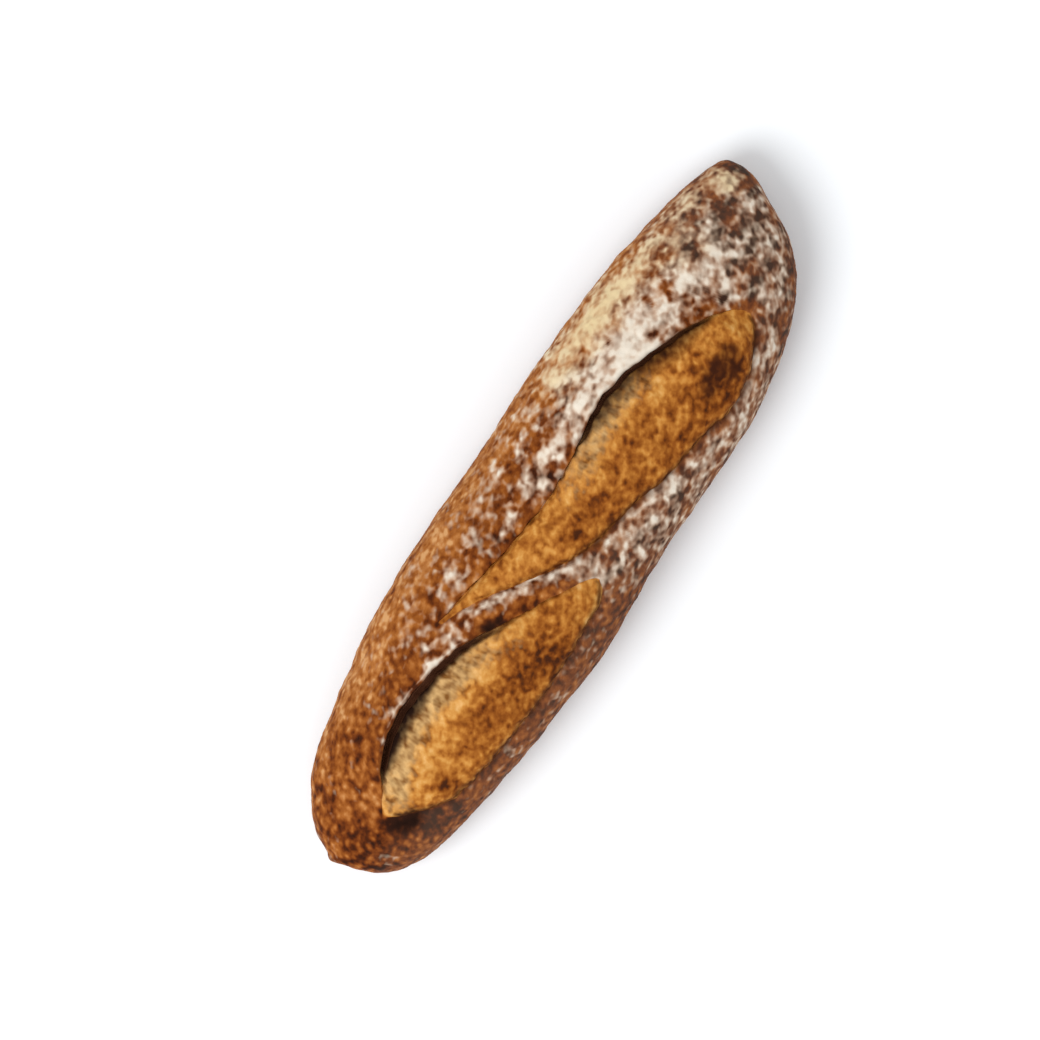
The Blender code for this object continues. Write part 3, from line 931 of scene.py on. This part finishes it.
def loaf_mesh(points, mark):
    """A closed mesh of the points and their marks, fanned to both tips and wound inward."""
    rows, columns = points.shape[:2]
    tips = [(u * HALF_LENGTH, v * HALF_WIDTH, TIP_HEIGHT) for u, _, v in (PLAN[0], PLAN[-1])]
    index = np.arange(rows * columns).reshape(rows, columns)
    beside = np.roll(index, -1, axis=1)
    quads = np.stack([index[:-1], index[1:], beside[1:], beside[:-1]], -1).reshape(-1, 4)
    first, last = rows * columns, rows * columns + 1
    fans = [(first, i, j) for i, j in zip(index[0].tolist(), beside[0].tolist())]
    fans += [(last, j, i) for i, j in zip(index[-1].tolist(), beside[-1].tolist())]
    mesh = bpy.data.meshes.new("loaf")
    vertices = np.concatenate([points.reshape(-1, 3), np.array(tips)])
    mesh.from_pydata(vertices.tolist(), [], quads.tolist() + fans)
    mesh.shade_smooth()
    for name, values in mark.items():
        ends = [values[0].mean(), values[-1].mean()]
        layer = mesh.attributes.new(name, "FLOAT", "POINT")
        layer.data.foreach_set("value", np.concatenate([values.ravel(), ends]))
    return mesh


# -------------------------------------------------------------- the materials


class Graph:
    """A material's nodes, made and joined by short calls."""

    def __init__(self, name):
        self.material = bpy.data.materials.new(name)
        self.material.use_nodes = True
        self.tree = self.material.node_tree
        self.shader = self.tree.nodes["Principled BSDF"]
        self.named = {}  # the marks and patterns that blend() finds by name

    def add(self, kind, **settings):
        """A new node of this kind, with its settings."""
        made = self.tree.nodes.new(kind)
        for name, value in settings.items():
            setattr(made, name, value)
        return made

    def put(self, socket, value):
        """Join a socket to another, or set it to a plain value."""
        if isinstance(value, bpy.types.NodeSocket):
            self.tree.links.new(value, socket)
        else:
            socket.default_value = value

    def math(self, operation, *values):
        """The result of an operation on sockets or numbers."""
        made = self.add("ShaderNodeMath", operation=operation)
        for socket, value in zip(made.inputs, values):
            self.put(socket, value)
        return made.outputs[0]

    def blend(self, start=0.0, **weights):
        """start plus each of the named values times its weight."""
        total = start
        for name, weight in weights.items():
            total = self.math("MULTIPLY_ADD", self.named[name], weight, total)
        return total

    def step(self, value, low, high, to_low=0.0, to_high=1.0):
        """to_low up to low, to_high from high on, and smooth between them."""
        made = self.add("ShaderNodeMapRange", interpolation_type="SMOOTHSTEP")
        for socket, given in zip(made.inputs, (value, low, high, to_low, to_high)):
            self.put(socket, given)
        return made.outputs[0]

    def level(self, value, low, high):
        """0 up to low, 1 from high on, and straight between them."""
        made = self.add("ShaderNodeMapRange")
        for socket, given in zip(made.inputs, (value, low, high)):
            self.put(socket, given)
        return made.outputs[0]

    def noise(self, place, size, detail, roughness, distortion=0.0):
        """Noise about 0, mostly within 0.3, with lumps of this size."""
        made = self.add("ShaderNodeTexNoise")
        self.put(made.inputs["Vector"], place)
        made.inputs["Scale"].default_value = 1 / size
        made.inputs["Detail"].default_value = detail
        made.inputs["Roughness"].default_value = roughness
        made.inputs["Distortion"].default_value = distortion
        return self.math("SUBTRACT", made.outputs["Fac"], 0.5)

    def cells(self, place, size):
        """Blobs of this size, from about -0.4 in their middles to 0.4 between them."""
        made = self.add("ShaderNodeTexVoronoi", feature="SMOOTH_F1")
        self.put(made.inputs["Vector"], place)
        made.inputs["Scale"].default_value = 1 / size
        return self.math("SUBTRACT", made.outputs["Distance"], CELL_MIDDLE)

    def moved(self, place, turn, scale, shift=(0, 0, 0)):
        """A place turned about Z, then stretched and shifted."""
        turned = self.add("ShaderNodeMapping", vector_type="POINT")
        self.put(turned.inputs["Vector"], place)
        turned.inputs["Rotation"].default_value = (0, 0, turn)
        scaled = self.add("ShaderNodeMapping", vector_type="POINT")
        self.put(scaled.inputs["Vector"], turned.outputs[0])
        scaled.inputs["Location"].default_value = shift
        scaled.inputs["Scale"].default_value = scale
        return scaled.outputs[0]

    def mix(self, share, a, b):
        """The colour a, and b by its share."""
        made = self.add("ShaderNodeMix", data_type="RGBA")
        for index, value in zip(MIX_INPUTS, (share, a, b)):
            self.put(made.inputs[index], value)
        return made.outputs[MIX_OUTPUT]

    def ease(self, share, a, b):
        """A value that goes from a to b with the share."""
        return self.math("MULTIPLY_ADD", share, self.math("SUBTRACT", b, a), a)

    def ramp(self, value, stops):
        """A colour from (place, colour) stops."""
        made = self.add("ShaderNodeValToRGB")
        self.put(made.inputs[0], value)
        elements = made.color_ramp.elements
        while len(elements) < len(stops):
            elements.new(0.5)
        for element, (place, tone) in zip(elements, stops):
            element.position = place
            element.color = tone
        return made.outputs[0]

    def bump(self, height, distance):
        """Normals tilted by a height from 0 to 1 that stands this far up."""
        made = self.add("ShaderNodeBump")
        self.put(made.inputs["Height"], height)
        made.inputs["Distance"].default_value = distance
        return made.outputs[0]


def name_values(g, names):
    """Give the graph the mesh's marks and the crust's patterns by name."""
    for name in names:
        mark = g.add("ShaderNodeAttribute", attribute_name=name)
        g.named[name] = mark.outputs["Fac"]
    place = g.add("ShaderNodeTexCoord").outputs["Object"]
    streaked = g.moved(place, SPECK_TURN, SPECK_STRETCH)
    apart = g.moved(place, SPECK_TURN, SPECK_STRETCH, APART)
    for name, (moved, size, *grade) in PATTERNS.items():
        g.named[name] = g.noise(apart if moved else streaked, size * MM, *grade)
    g.named["blobs"] = g.cells(streaked, BLOB_SIZE * MM)


def crust_colour(g):
    """Bare crust: baked unevenly, and blistered where no flour lies on it."""
    bare = g.blend(mottle=0.62, blobs=0.68, speck=0.42)
    dusted = g.blend(clumps=-0.8, crumbs=-0.55, mottle=0.3)
    g.named["rough"] = g.ease(g.level(g.named["flour"], -0.15, 0.45), bare, dusted)
    g.named["hidden"] = g.level(g.named["flour"], 0.5, 1.2)
    tone = g.blend(0.51, bake=0.62, broad=0.75, hidden=-0.25, rough=1.0, fine=0.12)
    return g.mix(g.named["veil"], g.ramp(tone, CRUST_TONES), VEIL_GREY)


def bloom_colour(g):
    """Torn blooms, each with a strip of pale streaks beside its ear."""
    tone = g.blend(0.43, bake=0.75, broad=0.6, mottle=0.75, blobs=0.1, speck=0.45, fine=0.12)
    torn = g.ramp(tone, BLOOM_TONES)
    place = g.add("ShaderNodeCombineXYZ")
    g.put(place.inputs[0], g.named["run"])
    g.put(place.inputs[1], g.math("MULTIPLY", g.named["from_ear"], STREAK_DRAWN))
    g.named["streaks"] = g.noise(place.outputs[0], STREAK_SIZE, 1, 0.5)
    streaked = g.level(g.blend(streaks=1.2, mottle=1.0, broad=0.5), -0.28, 0.38)
    share = g.step(g.blend(pale=1.0, mottle=1.1, speck=0.8), 0.10, 1.0)
    share = g.math("MULTIPLY", share, g.level(g.named["pale"], 0.0, 0.15))
    share = g.math("MULTIPLY", share, 0.85)
    return g.mix(share, torn, g.mix(streaked, PALE_CREAM, PALE_STREAK))


def flour_cover(g):
    """The share of the crust that flour covers, and the flour's colour."""
    loose = g.step(g.named["flour"], 0.6, 1.1, 1.0, 0.6)
    flecks = g.blend(drifts=1.0, clumps=1.75, crumbs=1.15, speck=0.3)
    amount = g.math("MULTIPLY_ADD", loose, flecks, g.named["flour"])
    cover = g.math("POWER", g.level(amount, 0.05, 1.10), 1.3)
    full = g.mix(g.named["cream"], FLOUR_WHITE, FLOUR_CREAM)
    heaped = g.level(amount, 0.05, 1.4)
    return g.math("MULTIPLY", cover, 0.96), g.mix(heaped, FLOUR_THIN, full)


def crust_material(names):
    """Crust, flour, blooms, a burned patch, and painted shade in the seams, pores and
    pockets, from the named marks.
    """
    g = Graph("crust")
    name_values(g, names)
    flour_share, flour_colour = flour_cover(g)
    floured = g.mix(flour_share, crust_colour(g), flour_colour)
    edge = g.step(g.blend(bloom=1.0, speck=0.6), 0.25, 0.75)
    base = g.mix(edge, floured, bloom_colour(g))
    # painted shade along the seams and in the pores, with the burned patch of the long bloom
    shade_and_burn = g.math("MULTIPLY", g.step(g.blend(seam=1.0, mottle=0.9), 0.1, 1.1), 0.84)
    seamed = g.mix(shade_and_burn, base, SEAM_BROWN)
    # painted shade: the pocket's shade on the bloom and the ear's brink, and the nearly black
    # spots
    dark = g.level(g.blend(shade=1.0, mottle=0.25, speck=0.15), 0.02, 1.0)
    shaded = g.mix(dark, seamed, g.mix(dark, SEAM_BROWN, DARK_POCKET))
    g.put(g.shader.inputs["Base Color"], g.mix(g.named["wall"], shaded, POCKET_WALL))

    off_bloom = g.math("SUBTRACT", 1.0, g.named["bloom"])
    g.named["dusty"] = g.math("MULTIPLY", flour_share, off_bloom)
    g.put(g.shader.inputs["Roughness"], g.blend(0.6, dusty=0.35, mottle=0.3))
    g.shader.inputs["Specular IOR Level"].default_value = MATTE
    height = g.blend(mottle=1.0, speck=0.5, dusty=0.3)
    g.put(g.shader.inputs["Normal"], g.bump(height, BUMP_HEIGHT))
    return g.material


def make_loaf():
    """The loaf, with its marks and its crust, on the part's one body."""
    ground = Ground()
    mark, pores = marks(ground)
    mesh = loaf_mesh(roughened(ground, mark, pores), mark)
    mesh.materials.append(crust_material(mark))
    loaf = bpy.data.objects.new("loaf", mesh)
    bpy.context.scene.collection.objects.link(loaf)
    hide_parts(NODE)
    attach(loaf, "root")


# ------------------------------------------------- camera, floor and the light


def make_camera():
    """A camera straight above, turned so that the loaf lies as in the photo."""
    camera = bpy.data.cameras.new("camera")
    camera.sensor_width = CAMERA_SENSOR
    camera.lens = CAMERA_SENSOR * CAMERA_HEIGHT / FRAMED_WIDTH
    placed = bpy.data.objects.new("camera", camera)
    placed.location = (*CAMERA_OVER, CAMERA_HEIGHT + OUTLINE_HEIGHT)
    placed.rotation_euler = (0, 0, CAMERA_TURN)
    bpy.context.scene.collection.objects.link(placed)
    bpy.context.scene.camera = placed


def make_floor():
    """A plain pale floor, which isn't part of the loaf."""
    reach = FLOOR_REACH
    corners = [(-reach, -reach, 0), (reach, -reach, 0), (reach, reach, 0), (-reach, reach, 0)]
    mesh = bpy.data.meshes.new("floor")
    mesh.from_pydata(corners, [], [(0, 1, 2, 3)])
    g = Graph("floor")
    g.shader.inputs["Base Color"].default_value = FLOOR_COLOUR
    g.shader.inputs["Roughness"].default_value = FLOOR_ROUGHNESS
    g.shader.inputs["Specular IOR Level"].default_value = 0.0
    mesh.materials.append(g.material)
    floor = bpy.data.objects.new("floor", mesh)
    bpy.context.scene.collection.objects.link(floor)


def make_light():
    """One soft key light in even white surroundings."""
    key = bpy.data.lights.new("key", "AREA")
    key.shape = "DISK"
    key.size = KEY_SIZE
    key.energy = KEY_POWER
    placed = bpy.data.objects.new("key", key)
    placed.location = KEY_PLACE
    placed.rotation_euler = (-Vector(KEY_PLACE)).to_track_quat("-Z", "Y").to_euler()
    bpy.context.scene.collection.objects.link(placed)
    world = bpy.data.worlds.new("studio")
    world.use_nodes = True
    background = world.node_tree.nodes["Background"]
    background.inputs["Color"].default_value = (1, 1, 1, 1)
    background.inputs["Strength"].default_value = WORLD_STRENGTH
    bpy.context.scene.world = world


make_loaf()
make_camera()
make_floor()
make_light()
bpy.context.scene.view_settings.view_transform = "Standard"
